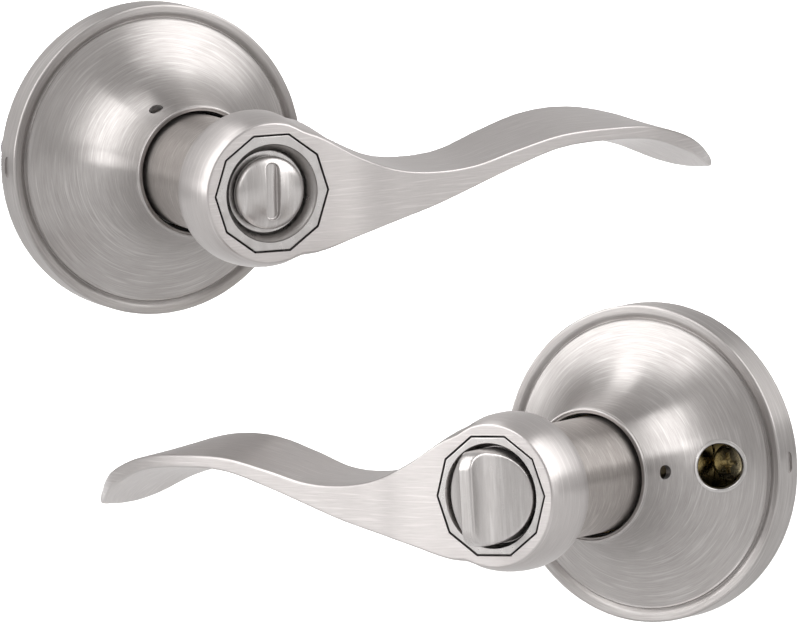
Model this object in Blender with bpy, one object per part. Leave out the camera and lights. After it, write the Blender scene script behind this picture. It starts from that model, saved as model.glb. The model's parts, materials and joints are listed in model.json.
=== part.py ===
"""Privacy door lever set: the outside half and the inside half, laid out side by side.

Each half is modelled in its own frame: the spindle axis is the local Y axis, "forward" is the distance in
front of the door face (local -Y), and "reach" is the distance towards the lever's tip, which is local +X on
the outside half and local -X on the inside half. The row frame is the inside half's frame.
Every size below is in millimetres.
"""
import math

import bmesh
import bpy
from mathutils import Euler, Vector

MM = 0.001
SEGMENTS = 28

# Where the outside half stands in the layout, seen from the inside half.
OUTSIDE_PLACE = (-139.0, 27.0, 61.5)
OUTSIDE_TURN_DEG = (3.8, 1.0, 55.0)

# Rose: a spun dish with a bead and a groove at its rim and a flared collar.
ROSE_RADIUS = 33.0
RIM_DEPTH = 7.1
ROSE_WALL = 1.1
GROOVE_RADIUS = 30.4
GROOVE_DEPTH = 0.5
COLLAR_FRONT = 29.4
COLLAR_RADIUS = 14.0
COLLAR_BORE = 12.9
FLARE_STEPS = 8
FLARE_BEND_TOP = (14.6, 13.0)
FLARE_BEND_FOOT = (23.0, 9.0)
PIN_HOLE_RADIUS = 1.5
PIN_HOLE_REACH = 14.8
PIN_HOLE_FORWARD = 22.6
PIN_HOLE_LEAN_DEG = 30.0
ACCESS_HOLE_RADIUS = 4.9
ACCESS_HOLE_REACH = 21.1
ACCESS_HOLE_FORWARD = 11.2
ACCESS_HOLE_LEAN_DEG = 50.0
NOTCH_HEIGHT = 4.2
NOTCH_DEPTH = 1.7

# Mounting plate, screws and posts, on the usual screw spacing of a tubular set.
PLATE_RADIUS = 31.3
PLATE_BORE = 9.9
PLATE_THICKNESS = 1.6
PLATE_SEAT_RADIUS = 26.8
PLATE_RELIEF = 0.4
SCREW_REACH = 19.0
SCREW_HOLE_RADIUS = 2.4
POST_RADIUS = 3.2
POST_NECK_RADIUS = 2.0
POST_BORE = 1.7
POST_BACK = -26.5
POST_RIVET = (3.0, 0.9)
HEAD_RADIUS = 3.9
HEAD_HEIGHT = 2.5
SHANK_RADIUS = 2.0
SHANK_BACK = -20.0
CROSS_HALVES = (2.2, 0.5)
GAP = 0.3
DRILL_PHASE = 0.11

# Rotating chassis.
HUB_RADIUS = 9.3
HUB_FLANGE_RADIUS = 12.0
HUB_FLANGE_BACK = -2.6
HUB_SHOULDER = 15.6
HUB_NOSE_RADIUS = 5.4
HUB_NOSE = 23.6
TURN_BORE = 3.2
SPINDLE_SIDE = 8.0
SPINDLE_CLEARANCE = 0.5
SPINDLE_BACK = -42.0
SPINDLE_FRONT = 5.4
NECK_RADIUS = 12.1
NECK_BORE = 9.7
NECK_BACK = 12.0
NECK_FRONT = 61.3

# Collar bush.
BUSH_BACK = 24.6
BUSH_FRONT = 26.8

# Return spring and its case.
CASE_RADIUS = 14.3
CASE_FRONT = 9.8
CASE_WALL = 1.0
SPRING_RADIUS = 11.4
SPRING_WIRE = 0.55
SPRING_TURNS = 2.75
SPRING_BACK = 4.2
SPRING_FRONT = 8.0

# Lever catch and its spring.
CATCH_FORWARD = (19.4, 22.8)
CATCH_RADII = (8.7, 11.8)
CATCH_WIDTH = 3.4
COIL_RADIUS = 1.1
COIL_WIRE = 0.2
COIL_TURNS = 2.5

# Lever: hub, then arm stations from the hub to the tip.
FACE_FORWARD = 67.8
FACE_RADIUS = 14.8
HUB_BACK = 55.4
LEVER_HUB_RADIUS = 16.5
LEVER_BORE = 12.45
POCKET_RADIUS = 13.05
POCKET_FLOOR = 62.9
# reach, top edge, bottom edge, front face, back face, lift of the back's top edge, lift of its bottom edge
ARM_STATIONS = (
    (2.0, 13.3, -13.5, 67.2, 56.6, 1.0, 0.0),
    (10.0, 11.6, -13.2, 67.4, 54.8, 2.2, -0.3),
    (20.0, 6.4, -10.5, 66.6, 51.4, 2.0, 0.5),
    (30.0, 2.7, -8.1, 64.8, 47.8, 1.4, 1.4),
    (40.0, 1.4, -5.7, 62.4, 43.8, 1.3, 1.3),
    (50.0, 1.8, -2.7, 60.0, 39.8, 1.3, 1.3),
    (60.0, 4.0, 0.4, 57.8, 36.6, 1.9, 1.4),
    (72.0, 6.2, 3.4, 55.0, 33.0, 2.5, 0.6),
    (84.0, 6.5, 3.9, 52.0, 30.0, 2.4, -1.4),
    (96.0, 5.7, 2.9, 48.0, 27.6, 0.6, -3.3),
    (106.0, 2.8, -0.5, 43.0, 27.2, -0.7, -4.0),
    (113.0, -0.9, -3.8, 37.8, 29.0, -1.2, -2.7),
    (116.6, -3.7, -6.0, 34.0, 31.2, -0.2, -0.2),
)
ARM_STEPS = 20
ARM_CHAMFER = 0.8

# Insert and buttons.
INSERT_SIDES = 10
INSERT_RADIUS = 12.7
INSERT_BACK = 63.2
RECESS_RADIUS = 10.5
RECESS_FLOOR_RADIUS = 10.1
RECESS_FLOOR = 64.9
STEM_HOLE = 3.0
STEM_RADIUS = 2.6
STEM_BACK = 60.6
RELEASE_RADIUS = 8.0
RELEASE_BACK = 65.3
RELEASE_EDGE = 66.6
RELEASE_DOME = 2.3
COIN_SLOT = (2.4, 13.4, 1.7)
TURN_RADIUS = 9.5
TURN_BACK = 65.2
TURN_FRONT = 77.5
TURN_FIN = 2.4
SCOOP_RADIUS = 12.5
BAR_SIZE = (4.4, 1.8)
BAR_BACK = -48.0
SHAFT_RADIUS = 2.3
SHAFT_BACK = -4.0


def clear_scene():
    for thing in list(bpy.data.objects):
        bpy.data.objects.remove(thing, do_unlink=True)


def metal(name, colour, roughness, metallic=1.0):
    material = bpy.data.materials.get(name) or bpy.data.materials.new(name)
    material.use_nodes = True
    shader = material.node_tree.nodes["Principled BSDF"]
    shader.inputs["Base Color"].default_value = (*colour, 1.0)
    shader.inputs["Roughness"].default_value = roughness
    shader.inputs["Metallic"].default_value = metallic
    return material


def satin_nickel():
    return metal("satin_nickel", (0.62, 0.60, 0.58), 0.32)


def zinc_steel():
    return metal("zinc_steel", (0.55, 0.56, 0.58), 0.4)


def yellow_zinc():
    return metal("yellow_zinc", (0.50, 0.42, 0.24), 0.35)


def spring_steel():
    return metal("spring_steel", (0.30, 0.30, 0.32), 0.3)


def black_nylon():
    return metal("black_nylon", (0.02, 0.02, 0.02), 0.55, 0.0)


class Half:
    """One half of the set: its name, the side its lever points to, and its parent empty."""

    def __init__(self, name, side, place, turn_deg):
        self.name = name
        self.side = side
        self.empty = bpy.data.objects.new(name + "_half", None)
        bpy.context.collection.objects.link(self.empty)
        self.empty.location = Vector(place) * MM
        self.empty.rotation_mode = "YXZ"
        self.empty.rotation_euler = Euler([math.radians(angle) for angle in turn_deg], "YXZ")

    def point(self, reach, forward, height):
        return Vector((self.side * reach, -forward, height)) * MM


def finish_mesh(half, part, mesh_data, material, origin=(0.0, 0.0, 0.0)):
    """Make a named object of the half from a bmesh, with its origin at the given local point."""
    bmesh.ops.recalc_face_normals(mesh_data, faces=mesh_data.faces)
    bmesh.ops.translate(mesh_data, verts=mesh_data.verts, vec=-Vector(origin))
    mesh = bpy.data.meshes.new(half.name + "_" + part)
    mesh_data.to_mesh(mesh)
    mesh_data.free()
    mesh.shade_smooth()
    mesh.set_sharp_from_angle(angle=math.radians(35))
    mesh.materials.append(material)
    made = bpy.data.objects.new(half.name + "_" + part, mesh)
    bpy.context.collection.objects.link(made)
    made.parent = half.empty
    made.location = origin
    return made


def skin_rings(mesh_data, rings, closed):
    """Join rings of vertices with quads. A ring of one vertex makes a fan."""
    pairs = list(zip(rings, rings[1:]))
    if closed:
        pairs.append((rings[-1], rings[0]))
    for first, second in pairs:
        count = max(len(first), len(second))
        for i in range(count):
            j = (i + 1) % count
            corners = (first[i % len(first)], first[j % len(first)],
                       second[j % len(second)], second[i % len(second)])
            unique = list(dict.fromkeys(corners))
            if len(unique) > 2:
                mesh_data.faces.new(unique)


def revolve(half, profile, segments=SEGMENTS, centre=(0.0, 0.0), phase=0.0):
    """Turn a closed profile of (radius, forward) points about a line parallel to the spindle axis."""
    mesh_data = bmesh.new()
    rings = []
    for radius, forward in profile:
        count = segments if radius > 0 else 1
        ring = []
        for i in range(count):
            angle = phase + 2 * math.pi * i / segments
            reach = centre[0] + radius * math.cos(angle)
            height = centre[1] + radius * math.sin(angle)
            ring.append(mesh_data.verts.new(half.point(reach, forward, height)))
        rings.append(ring)
    skin_rings(mesh_data, rings, closed=profile[0][0] > 0)
    return mesh_data


def box(half, reach, forward, height):
    """A block between pairs of reach, forward and height."""
    mesh_data = bmesh.new()
    rings = []
    for depth in forward:
        corners = ((reach[0], height[0]), (reach[1], height[0]),
                   (reach[1], height[1]), (reach[0], height[1]))
        rings.append([mesh_data.verts.new(half.point(x, depth, z)) for x, z in corners])
    skin_rings(mesh_data, rings, closed=False)
    for ring in rings:
        mesh_data.faces.new(ring)
    return mesh_data


def tube(points, radius, sides):
    """A round bar along a list of local points in metres, with flat ends."""
    mesh_data = bmesh.new()
    rings = []
    side_way = None
    for i, point in enumerate(points):
        ahead = points[min(i + 1, len(points) - 1)] - points[max(i - 1, 0)]
        ahead.normalize()
        if side_way is None:
            side_way = ahead.orthogonal()
        side_way = (side_way - ahead * side_way.dot(ahead)).normalized()
        other_way = ahead.cross(side_way)
        ring = []
        for k in range(sides):
            angle = 2 * math.pi * k / sides
            spoke = math.cos(angle) * side_way + math.sin(angle) * other_way
            ring.append(mesh_data.verts.new(point + radius * spoke))
        rings.append(ring)
    skin_rings(mesh_data, rings, closed=False)
    mesh_data.faces.new(rings[0])
    mesh_data.faces.new(rings[-1])
    return mesh_data


def combine(target, tool_mesh, half, operation="DIFFERENCE"):
    """Cut the target with a bmesh tool, or join them, and keep the result as the target's own mesh."""
    tool = finish_mesh(half, "tool", tool_mesh, black_nylon())
    tool.hide_render = True
    tool.display_type = "WIRE"
    modifier = target.modifiers.new("combine", "BOOLEAN")
    modifier.solver = "EXACT"
    modifier.operation = operation
    modifier.object = tool
    bpy.context.view_layer.update()
    evaluated = target.evaluated_get(bpy.context.evaluated_depsgraph_get())
    result = bpy.data.meshes.new_from_object(evaluated)
    target.modifiers.clear()
    material = target.data.materials[0]
    target.data = result
    result.name = target.name
    result.materials.clear()
    result.materials.append(material)
    bpy.data.objects.remove(tool, do_unlink=True)


def bezier(start, bend_a, bend_b, end, steps):
    """Points along a cubic curve, both ends included."""
    points = []
    for i in range(steps + 1):
        t = i / steps
        weights = ((1 - t) ** 3, 3 * t * (1 - t) ** 2, 3 * t * t * (1 - t), t ** 3)
        spots = (start, bend_a, bend_b, end)
        points.append(tuple(sum(w * p[k] for w, p in zip(weights, spots)) for k in (0, 1)))
    return points


def rose_profile():
    """Outside from the rim up to the lip, then the inside back down."""
    rim = [(ROSE_RADIUS, 0.0), (ROSE_RADIUS, RIM_DEPTH - 0.9), (ROSE_RADIUS - 0.4, RIM_DEPTH - 0.2)]
    bead = [(ROSE_RADIUS - 1.1, RIM_DEPTH), (ROSE_RADIUS - 1.9, RIM_DEPTH - 0.2),
            (GROOVE_RADIUS, RIM_DEPTH - GROOVE_DEPTH)]
    foot = (GROOVE_RADIUS - 0.4, RIM_DEPTH - 0.35)
    neck = (COLLAR_RADIUS, COLLAR_FRONT - 0.8)
    flare = bezier(foot, FLARE_BEND_FOOT, FLARE_BEND_TOP, neck, FLARE_STEPS)
    lip = [(COLLAR_RADIUS - 0.3, COLLAR_FRONT - 0.1), (COLLAR_BORE + 0.3, COLLAR_FRONT),
           (COLLAR_BORE, COLLAR_FRONT - 0.5)]
    inner_neck = (COLLAR_BORE, COLLAR_FRONT - 1.8)
    inner_foot = (GROOVE_RADIUS - 1.1, RIM_DEPTH - 1.8)
    bend_top = (FLARE_BEND_TOP[0] - ROSE_WALL, FLARE_BEND_TOP[1] - 0.8)
    bend_foot = (FLARE_BEND_FOOT[0] - 0.9, FLARE_BEND_FOOT[1] - 1.4)
    inner_flare = bezier(inner_neck, bend_top, bend_foot, inner_foot, FLARE_STEPS - 2)
    inner_rim = [(ROSE_RADIUS - ROSE_WALL, RIM_DEPTH - 1.8), (ROSE_RADIUS - ROSE_WALL, 0.0)]
    return rim + bead + flare + lip + inner_flare + inner_rim


def drill_rose(rose, half, angle, centre, lean_deg, radius, sides):
    """Drill the rose along a line through (reach, forward) that leans towards the front from the radial way."""
    lean = math.radians(lean_deg)
    ends = []
    for distance in (-4.0, 4.0):
        reach = centre[0] + distance * math.cos(lean)
        forward = centre[1] + distance * math.sin(lean)
        ends.append(half.point(reach * math.cos(angle), forward, reach * math.sin(angle)))
    combine(rose, tube(ends, radius * MM, sides), half)


def make_rose(half, pin_angle, access_holes):
    rose = finish_mesh(half, "rose", revolve(half, rose_profile()), satin_nickel())
    pin_centre = (PIN_HOLE_REACH, PIN_HOLE_FORWARD)
    drill_rose(rose, half, pin_angle, pin_centre, PIN_HOLE_LEAN_DEG, PIN_HOLE_RADIUS, 12)
    notch_forward = (1.6, 1.6 + NOTCH_DEPTH)
    notch_height = (-NOTCH_HEIGHT / 2, NOTCH_HEIGHT / 2)
    combine(rose, box(half, (-ROSE_RADIUS - 3, -ROSE_RADIUS + 3), notch_forward, notch_height), half)
    if access_holes:
        centre = (ACCESS_HOLE_REACH, ACCESS_HOLE_FORWARD)
        for angle in (0.0, math.pi):
            drill_rose(rose, half, angle, centre, ACCESS_HOLE_LEAN_DEG, ACCESS_HOLE_RADIUS, 20)
    return rose


def make_mount_plate(half):
    """A stamped disc that bears on the door with its outer ring and is set back inside it."""
    profile = ((PLATE_BORE, PLATE_RELIEF), (PLATE_SEAT_RADIUS, PLATE_RELIEF), (PLATE_SEAT_RADIUS, 0),
               (PLATE_RADIUS, 0), (PLATE_RADIUS, PLATE_THICKNESS), (PLATE_BORE, PLATE_THICKNESS))
    plate = finish_mesh(half, "mount_plate", revolve(half, profile), yellow_zinc())
    hole = ((0, -3), (SCREW_HOLE_RADIUS, -3), (SCREW_HOLE_RADIUS, 5), (0, 5))
    for reach in (-SCREW_REACH, SCREW_REACH):
        combine(plate, revolve(half, hole, 12, (reach, 0), DRILL_PHASE), half)
    return plate


def make_screw_post(half, part, reach):
    """A threaded tube behind the plate, riveted over in front of it."""
    front = PLATE_THICKNESS + GAP
    rivet_radius, rivet_height = POST_RIVET
    profile = ((0, front + rivet_height), (rivet_radius, front + rivet_height), (rivet_radius, front),
               (POST_NECK_RADIUS, front), (POST_NECK_RADIUS, -GAP), (POST_RADIUS, -GAP),
               (POST_RADIUS, POST_BACK), (POST_BORE, POST_BACK), (POST_BORE, -5), (0, -5))
    return finish_mesh(half, part, revolve(half, profile, 16, (reach, 0)), zinc_steel())


def make_mounting_screw(half, part, reach):
    """A pan head screw with a cross recess, pointing back through the door."""
    seat = PLATE_THICKNESS + GAP
    profile = ((0, seat + HEAD_HEIGHT), (HEAD_RADIUS - 1.5, seat + HEAD_HEIGHT - 0.1),
               (HEAD_RADIUS, seat + HEAD_HEIGHT / 2), (HEAD_RADIUS, seat), (SHANK_RADIUS, seat),
               (SHANK_RADIUS, SHANK_BACK + 2), (SHANK_RADIUS - 0.7, SHANK_BACK), (0, SHANK_BACK))
    screw = finish_mesh(half, part, revolve(half, profile, 16, (reach, 0)), yellow_zinc())
    for wide, tall in (CROSS_HALVES, CROSS_HALVES[::-1]):
        wing = box(half, (reach - wide, reach + wide), (seat + 1.0, seat + 4), (-tall, tall))
        combine(screw, wing, half)
    return screw


def make_spring_case(half):
    inner = CASE_RADIUS - CASE_WALL
    back = PLATE_THICKNESS + GAP
    profile = ((CASE_RADIUS, back), (CASE_RADIUS, CASE_FRONT), (PLATE_BORE, CASE_FRONT),
               (PLATE_BORE, CASE_FRONT - CASE_WALL), (inner, CASE_FRONT - CASE_WALL), (inner, back))
    return finish_mesh(half, "spring_case", revolve(half, profile), yellow_zinc())


def make_return_spring(half):
    steps = round(SPRING_TURNS * 12)
    points = []
    for i in range(steps + 1):
        angle = 2 * math.pi * SPRING_TURNS * i / steps
        forward = SPRING_BACK + (SPRING_FRONT - SPRING_BACK) * i / steps
        points.append(half.point(SPRING_RADIUS * math.cos(angle), forward, SPRING_RADIUS * math.sin(angle)))
    return finish_mesh(half, "return_spring", tube(points, SPRING_WIRE * MM, 5), spring_steel())


def make_retaining_ring(half):
    back = PLATE_THICKNESS + GAP
    inner = HUB_RADIUS + 0.25
    outer = HUB_RADIUS + 1.9
    profile = ((inner, back), (outer, back), (outer, back + 1.0), (inner, back + 1.0))
    ring = finish_mesh(half, "retaining_ring", revolve(half, profile, 24), spring_steel())
    combine(ring, box(half, (-1.8, 1.8), (back - 1, back + 2), (-14, -6)), half)
    return ring


def make_drive_hub(half):
    profile = ((HUB_FLANGE_RADIUS, HUB_FLANGE_BACK), (HUB_FLANGE_RADIUS, -GAP), (HUB_RADIUS, -GAP),
               (HUB_RADIUS, HUB_SHOULDER), (HUB_NOSE_RADIUS, HUB_SHOULDER), (HUB_NOSE_RADIUS, HUB_NOSE),
               (TURN_BORE, HUB_NOSE), (TURN_BORE, HUB_FLANGE_BACK))
    hub = finish_mesh(half, "drive_hub", revolve(half, profile, 24), zinc_steel())
    side = (SPINDLE_SIDE + SPINDLE_CLEARANCE) / 2
    combine(hub, box(half, (-side, side), (HUB_FLANGE_BACK - 2, SPINDLE_FRONT + 0.6), (-side, side)), half)
    return hub


def make_neck_sleeve(half, pin_angle):
    profile = ((NECK_RADIUS, NECK_BACK), (NECK_RADIUS, NECK_FRONT),
               (NECK_BORE, NECK_FRONT), (NECK_BORE, NECK_BACK))
    sleeve = finish_mesh(half, "neck_sleeve", revolve(half, profile), satin_nickel())
    window = catch_block(half, pin_angle, (NECK_BORE - 2, NECK_RADIUS + 2), GAP)
    combine(sleeve, window, half)
    return sleeve


def catch_block(half, pin_angle, radii, margin):
    """A block at the pin's angle, between two radii, grown by a margin on its other sides."""
    width = CATCH_WIDTH / 2 + margin
    forward = (CATCH_FORWARD[0] - margin, CATCH_FORWARD[1] + margin)
    block = box(half, radii, forward, (-width, width))
    turn = Euler((0.0, -pin_angle * half.side, 0.0)).to_matrix()
    bmesh.ops.rotate(block, verts=block.verts, cent=(0, 0, 0), matrix=turn)
    return block


def make_lever_catch(half, pin_angle):
    middle = sum(CATCH_RADII) / 2
    depth = sum(CATCH_FORWARD) / 2
    origin = half.point(middle * math.cos(pin_angle), depth, middle * math.sin(pin_angle))
    block = catch_block(half, pin_angle, CATCH_RADII, 0.0)
    return finish_mesh(half, "lever_catch", block, zinc_steel(), origin)


def make_catch_spring(half, pin_angle):
    """A small coil that stands on the hub's nose and pushes the catch outwards."""
    start = HUB_NOSE_RADIUS + 0.6
    end = CATCH_RADII[0] - 0.6
    steps = 25
    outward = half.point(math.cos(pin_angle), 0, math.sin(pin_angle)) / MM
    across = half.point(-math.sin(pin_angle), 0, math.cos(pin_angle)) / MM
    along = Vector((0, -1, 0))
    depth = sum(CATCH_FORWARD) / 2
    points = []
    for i in range(steps + 1):
        angle = 2 * math.pi * COIL_TURNS * i / steps
        radius = start + (end - start) * i / steps
        coil = COIL_RADIUS * (math.cos(angle) * across + math.sin(angle) * along)
        points.append((outward * radius + along * depth + coil) * MM)
    return finish_mesh(half, "catch_spring", tube(points, COIL_WIRE * MM, 5), spring_steel())


def make_collar_bush(half):
    outer = COLLAR_BORE - 0.05
    inner = NECK_RADIUS + 0.25
    profile = ((outer, BUSH_BACK), (outer, BUSH_FRONT), (inner, BUSH_FRONT), (inner, BUSH_BACK))
    return finish_mesh(half, "collar_bush", revolve(half, profile), black_nylon())


def smooth_through(stations, steps):
    """A smooth curve through the stations, sampled evenly along the reach."""
    first = stations[0][0]
    last = stations[-1][0]
    samples = []
    for i in range(steps + 1):
        reach = first + (last - first) * i / steps
        k = max(n for n in range(len(stations) - 1) if stations[n][0] <= reach)
        left, right = stations[k], stations[k + 1]
        before, after = stations[max(k - 1, 0)], stations[min(k + 2, len(stations) - 1)]
        width = right[0] - left[0]
        t = (reach - left[0]) / width
        row = [reach]
        for c in range(1, len(left)):
            slope_in = (right[c] - before[c]) / (right[0] - before[0]) * width
            slope_out = (after[c] - left[c]) / (after[0] - left[0]) * width
            row.append((2 * t ** 3 - 3 * t * t + 1) * left[c] + (t ** 3 - 2 * t * t + t) * slope_in
                       + (3 * t * t - 2 * t ** 3) * right[c] + (t ** 3 - t * t) * slope_out)
        samples.append(row)
    return samples


def arm_section(half, mesh_data, row):
    """One ring of eight points: the four edges of the ribbon, each with a chamfer."""
    reach, top, bottom, front, back, lift_top, lift_bottom = row
    back_top = top + lift_top
    back_bottom = bottom + lift_bottom
    tall = min(ARM_CHAMFER, (top - bottom) * 0.3)
    deep = min(ARM_CHAMFER, (front - back) * 0.3)
    corners = ((front - deep, top), (front, top - tall), (front, bottom + tall), (front - deep, bottom),
               (back + deep, back_bottom), (back, back_bottom + tall),
               (back, back_top - tall), (back + deep, back_top))
    return [mesh_data.verts.new(half.point(reach, forward, height)) for forward, height in corners]


def make_lever(half):
    arm = bmesh.new()
    rings = [arm_section(half, arm, row) for row in smooth_through(ARM_STATIONS, ARM_STEPS)]
    skin_rings(arm, rings, closed=False)
    arm.faces.new(rings[0])
    arm.faces.new(rings[-1])
    lever = finish_mesh(half, "lever", arm, satin_nickel())
    profile = ((0, FACE_FORWARD), (FACE_RADIUS - 0.6, FACE_FORWARD), (FACE_RADIUS, FACE_FORWARD - 0.5),
               (LEVER_HUB_RADIUS - 0.5, FACE_FORWARD - 4.5), (LEVER_HUB_RADIUS, FACE_FORWARD - 8),
               (LEVER_HUB_RADIUS - 0.1, HUB_BACK + 1.6), (LEVER_HUB_RADIUS - 0.7, HUB_BACK + 0.4),
               (LEVER_HUB_RADIUS - 1.5, HUB_BACK), (LEVER_BORE + 0.8, HUB_BACK),
               (LEVER_BORE + 0.8, HUB_BACK - 0.8), (0, HUB_BACK - 0.8))
    combine(lever, revolve(half, profile), half, "UNION")
    sleeve_end = NECK_FRONT + GAP
    bore = ((0, HUB_BACK - 6), (LEVER_BORE, HUB_BACK - 6), (LEVER_BORE, sleeve_end), (7.0, sleeve_end),
            (7.0, POCKET_FLOOR + 1), (0, POCKET_FLOOR + 1))
    combine(lever, revolve(half, bore), half)
    pocket = ((0, POCKET_FLOOR), (POCKET_RADIUS, POCKET_FLOOR),
              (POCKET_RADIUS, FACE_FORWARD + 2), (0, FACE_FORWARD + 2))
    combine(lever, revolve(half, pocket, INSERT_SIDES), half)
    return lever


def make_button_insert(half):
    front = FACE_FORWARD - 0.05
    plug = ((0, INSERT_BACK), (INSERT_RADIUS, INSERT_BACK), (INSERT_RADIUS, front), (0, front))
    insert = finish_mesh(half, "button_insert", revolve(half, plug, INSERT_SIDES), satin_nickel())
    dish = ((0, INSERT_BACK - 2), (STEM_HOLE, INSERT_BACK - 2), (STEM_HOLE, RECESS_FLOOR),
            (RECESS_FLOOR_RADIUS - 0.3, RECESS_FLOOR), (RECESS_FLOOR_RADIUS, RECESS_FLOOR + 0.3),
            (RECESS_RADIUS, FACE_FORWARD + 0.5), (0, FACE_FORWARD + 0.5))
    combine(insert, revolve(half, dish), half)
    return insert


def make_release_button(half):
    """A low dome with a coin slot, for letting oneself in from outside."""
    dome_steps = 4
    profile = [(0, STEM_BACK), (STEM_RADIUS, STEM_BACK), (STEM_RADIUS, RELEASE_BACK),
               (RELEASE_RADIUS, RELEASE_BACK), (RELEASE_RADIUS, RELEASE_EDGE)]
    for i in range(1, dome_steps):
        angle = math.pi / 2 * i / dome_steps
        profile.append((RELEASE_RADIUS * math.cos(angle), RELEASE_EDGE + RELEASE_DOME * math.sin(angle)))
    profile.append((0, RELEASE_EDGE + RELEASE_DOME))
    button = finish_mesh(half, "release_button", revolve(half, profile, 24), satin_nickel())
    wide, tall, deep = COIN_SLOT
    top = RELEASE_EDGE + RELEASE_DOME
    combine(button, box(half, (-wide / 2, wide / 2), (top - deep, top + 3), (-tall / 2, tall / 2)), half)
    return button


def make_turn_button(half):
    """A thumb turn: a round boss scooped on both sides, which leaves an upright fin."""
    profile = ((0, STEM_BACK), (STEM_RADIUS, STEM_BACK), (STEM_RADIUS, TURN_BACK), (TURN_RADIUS, TURN_BACK),
               (TURN_RADIUS, TURN_FRONT - 4.5), (TURN_RADIUS - 0.7, TURN_FRONT - 1.8),
               (TURN_RADIUS - 2.4, TURN_FRONT - 0.4), (TURN_RADIUS - 4.6, TURN_FRONT), (0, TURN_FRONT))
    button = finish_mesh(half, "turn_button", revolve(half, profile, 24), satin_nickel())
    for way in (-1, 1):
        scoop = bmesh.new()
        rings = []
        centre = way * (TURN_FIN / 2 + SCOOP_RADIUS)
        for height in (-14, 14):
            ring = []
            for i in range(28):
                angle = 2 * math.pi * i / 28
                reach = centre + SCOOP_RADIUS * math.cos(angle)
                forward = TURN_FRONT + 1.2 + SCOOP_RADIUS * math.sin(angle)
                ring.append(scoop.verts.new(half.point(reach, forward, height)))
            rings.append(ring)
        skin_rings(scoop, rings, closed=False)
        scoop.faces.new(rings[0])
        scoop.faces.new(rings[1])
        combine(button, scoop, half)
    return button


def make_turn_shaft(half):
    """A round rod behind the turn button, slotted at its back end for the other half's bar."""
    front = STEM_BACK - GAP
    profile = ((0, SHAFT_BACK), (SHAFT_RADIUS, SHAFT_BACK), (SHAFT_RADIUS, front), (0, front))
    shaft = finish_mesh(half, "turn_shaft", revolve(half, profile, 16), zinc_steel())
    slot = BAR_SIZE[1] / 2 + 0.1
    combine(shaft, box(half, (-slot, slot), (SHAFT_BACK - 2, SHAFT_BACK + 12), (-4, 4)), half)
    return shaft


def make_turn_bar(half):
    wide, tall = BAR_SIZE[1] / 2, BAR_SIZE[0] / 2
    bar = box(half, (-wide, wide), (BAR_BACK, STEM_BACK - GAP), (-tall, tall))
    return finish_mesh(half, "turn_bar", bar, zinc_steel())


def make_spindle(half):
    side = SPINDLE_SIDE / 2
    bar = box(half, (-side, side), (SPINDLE_BACK, SPINDLE_FRONT), (-side, side))
    spindle = finish_mesh(half, "spindle", bar, zinc_steel())
    bore = ((0, SPINDLE_BACK - 2), (2.8, SPINDLE_BACK - 2), (2.8, SPINDLE_FRONT + 2), (0, SPINDLE_FRONT + 2))
    combine(spindle, revolve(half, bore, 16), half)
    return spindle


def make_common_pieces(half, pin_angle, access_holes):
    make_mount_plate(half)
    make_rose(half, pin_angle, access_holes)
    make_spring_case(half)
    make_return_spring(half)
    make_retaining_ring(half)
    make_drive_hub(half)
    make_neck_sleeve(half, pin_angle)
    make_lever_catch(half, pin_angle)
    make_catch_spring(half, pin_angle)
    make_collar_bush(half)
    make_lever(half)
    make_button_insert(half)


def make_outside_half():
    half = Half("outside", 1, OUTSIDE_PLACE, OUTSIDE_TURN_DEG)
    make_common_pieces(half, math.radians(118), access_holes=False)
    for part, reach in (("screw_post_left", -SCREW_REACH), ("screw_post_right", SCREW_REACH)):
        make_screw_post(half, part, reach)
    make_release_button(half)
    make_turn_bar(half)
    make_spindle(half)


def make_inside_half():
    half = Half("inside", -1, (0.0, 0.0, 0.0), (0.0, 0.0, 0.0))
    make_common_pieces(half, math.pi, access_holes=True)
    for part, reach in (("mounting_screw_left", SCREW_REACH), ("mounting_screw_right", -SCREW_REACH)):
        make_mounting_screw(half, part, reach)
    make_turn_button(half)
    make_turn_shaft(half)


clear_scene()
make_outside_half()
make_inside_half()
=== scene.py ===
"""Privacy door lever set in brushed satin nickel: the outside half and the inside half, side by side.

Each half's pieces are built in that half's own frame: local Y points into the door along the spindle axis,
local Z is up, and "forward" is the distance in front of the door face (local -Y). "Reach" is the distance
towards the lever's tip. Sizes are in millimetres until a mesh is made.
"""
import json
import math

import bmesh
import bpy
from mathutils import Matrix, Vector


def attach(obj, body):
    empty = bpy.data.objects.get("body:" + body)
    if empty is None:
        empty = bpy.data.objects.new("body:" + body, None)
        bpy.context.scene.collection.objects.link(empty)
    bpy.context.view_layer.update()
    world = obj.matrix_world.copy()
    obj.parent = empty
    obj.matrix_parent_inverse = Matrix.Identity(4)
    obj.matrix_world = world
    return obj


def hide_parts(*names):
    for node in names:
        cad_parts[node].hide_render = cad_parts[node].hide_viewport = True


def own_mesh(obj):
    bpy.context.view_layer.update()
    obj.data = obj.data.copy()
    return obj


MM = 0.001

# Rose
ROSE_RADIUS = 33.0
RIM_DEPTH = 7.1
GROOVE_RADIUS = 30.3
COLLAR_FRONT = 29.4
COLLAR_RADIUS = 14.0
COLLAR_BORE = 12.9
FLARE_BEND_TOP = (14.6, 13.0)
FLARE_BEND_FOOT = (23.0, 9.0)
PIN_HOLE = (14.8, 22.6)
PIN_HOLE_SIZE = (2.9, 3.4)
PIN_HOLE_LEAN_DEG = 11.0
PIN_PUNCH = (-3.0, 3.0)
ACCESS_HOLE = (21.1, 11.2)
ACCESS_HOLE_LEAN_DEG = 50.0
ACCESS_HOLE_RADIUS = 4.9
ACCESS_PUNCH = (-4.0, 4.0)
NOTCH_SIZE = (2.2, 4.4)
NOTCH_FORWARD = 3.2
NOTCH_DEPTH = 0.4

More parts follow.
